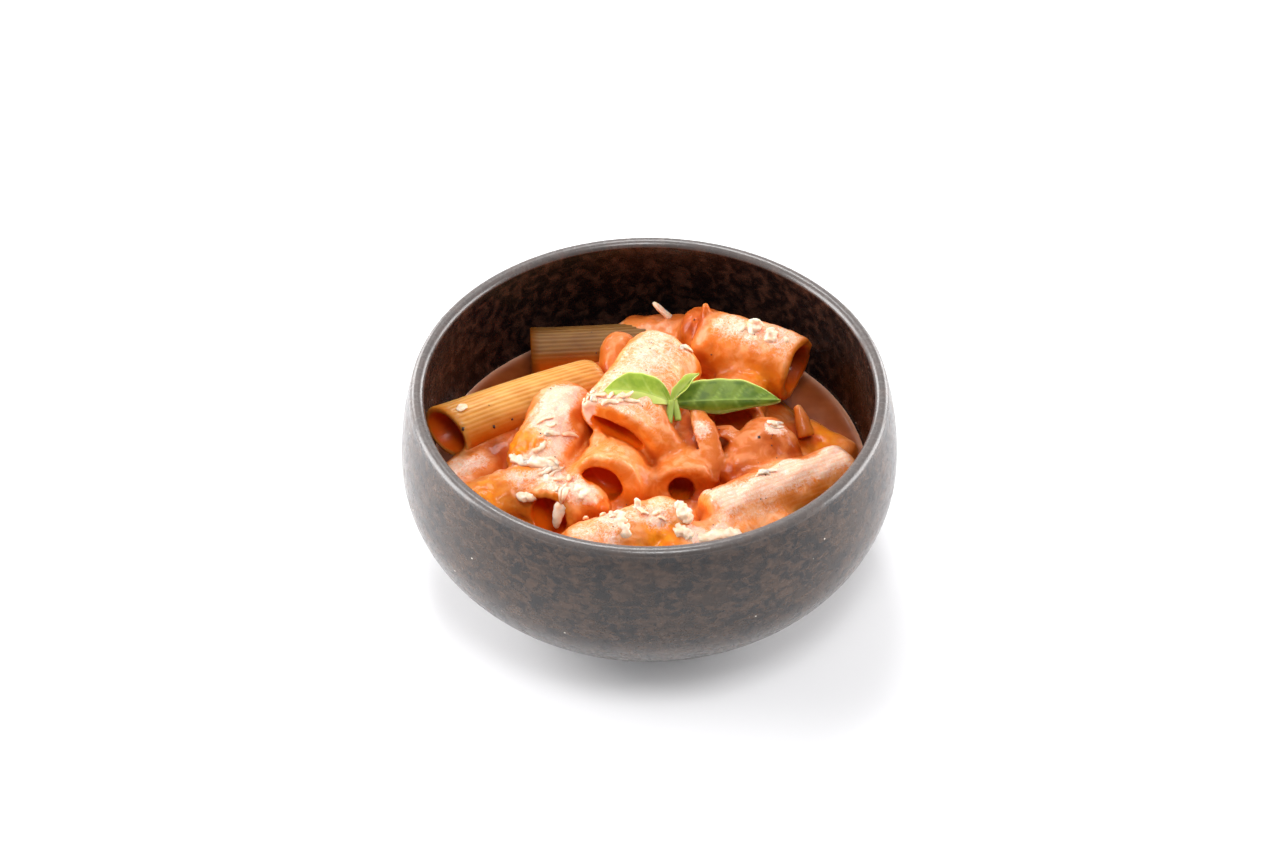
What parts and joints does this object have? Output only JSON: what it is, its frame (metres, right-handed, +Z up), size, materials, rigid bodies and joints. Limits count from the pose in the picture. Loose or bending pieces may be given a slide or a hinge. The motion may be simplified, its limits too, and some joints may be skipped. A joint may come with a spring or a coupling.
{
  "type": "bowl of rigatoni pasta",
  "caption": "Round-bellied stoneware bowl filled with ribbed tube pasta in pink sauce, topped with shredded cheese and a sprig of basil.",
  "frame": {"origin": "centre of the bowl's foot ring, on the surface that the bowl stands on", "axes": "+Z up out of the bowl's mouth, +Y away from the viewer of the picture, +X to its right"},
  "size_m": [0.1568, 0.1568, 0.0778],
  "materials": {
    "stoneware": "satin dark brown and black mottled glaze with fine pale specks",
    "coated_pasta": "cooked pasta under a moist orange-pink sauce with shreds of pale cheese",
    "pink_sauce": "wet creamy tomato sauce",
    "basil": "fresh green leaf, soft sheen"
  },
  "bodies": {
    "root": {"bowl": "stoneware", "pasta_heap": "coated_pasta", "sauce": "pink_sauce", "basil_sprig": "basil"}
  },
  "joints": []
}
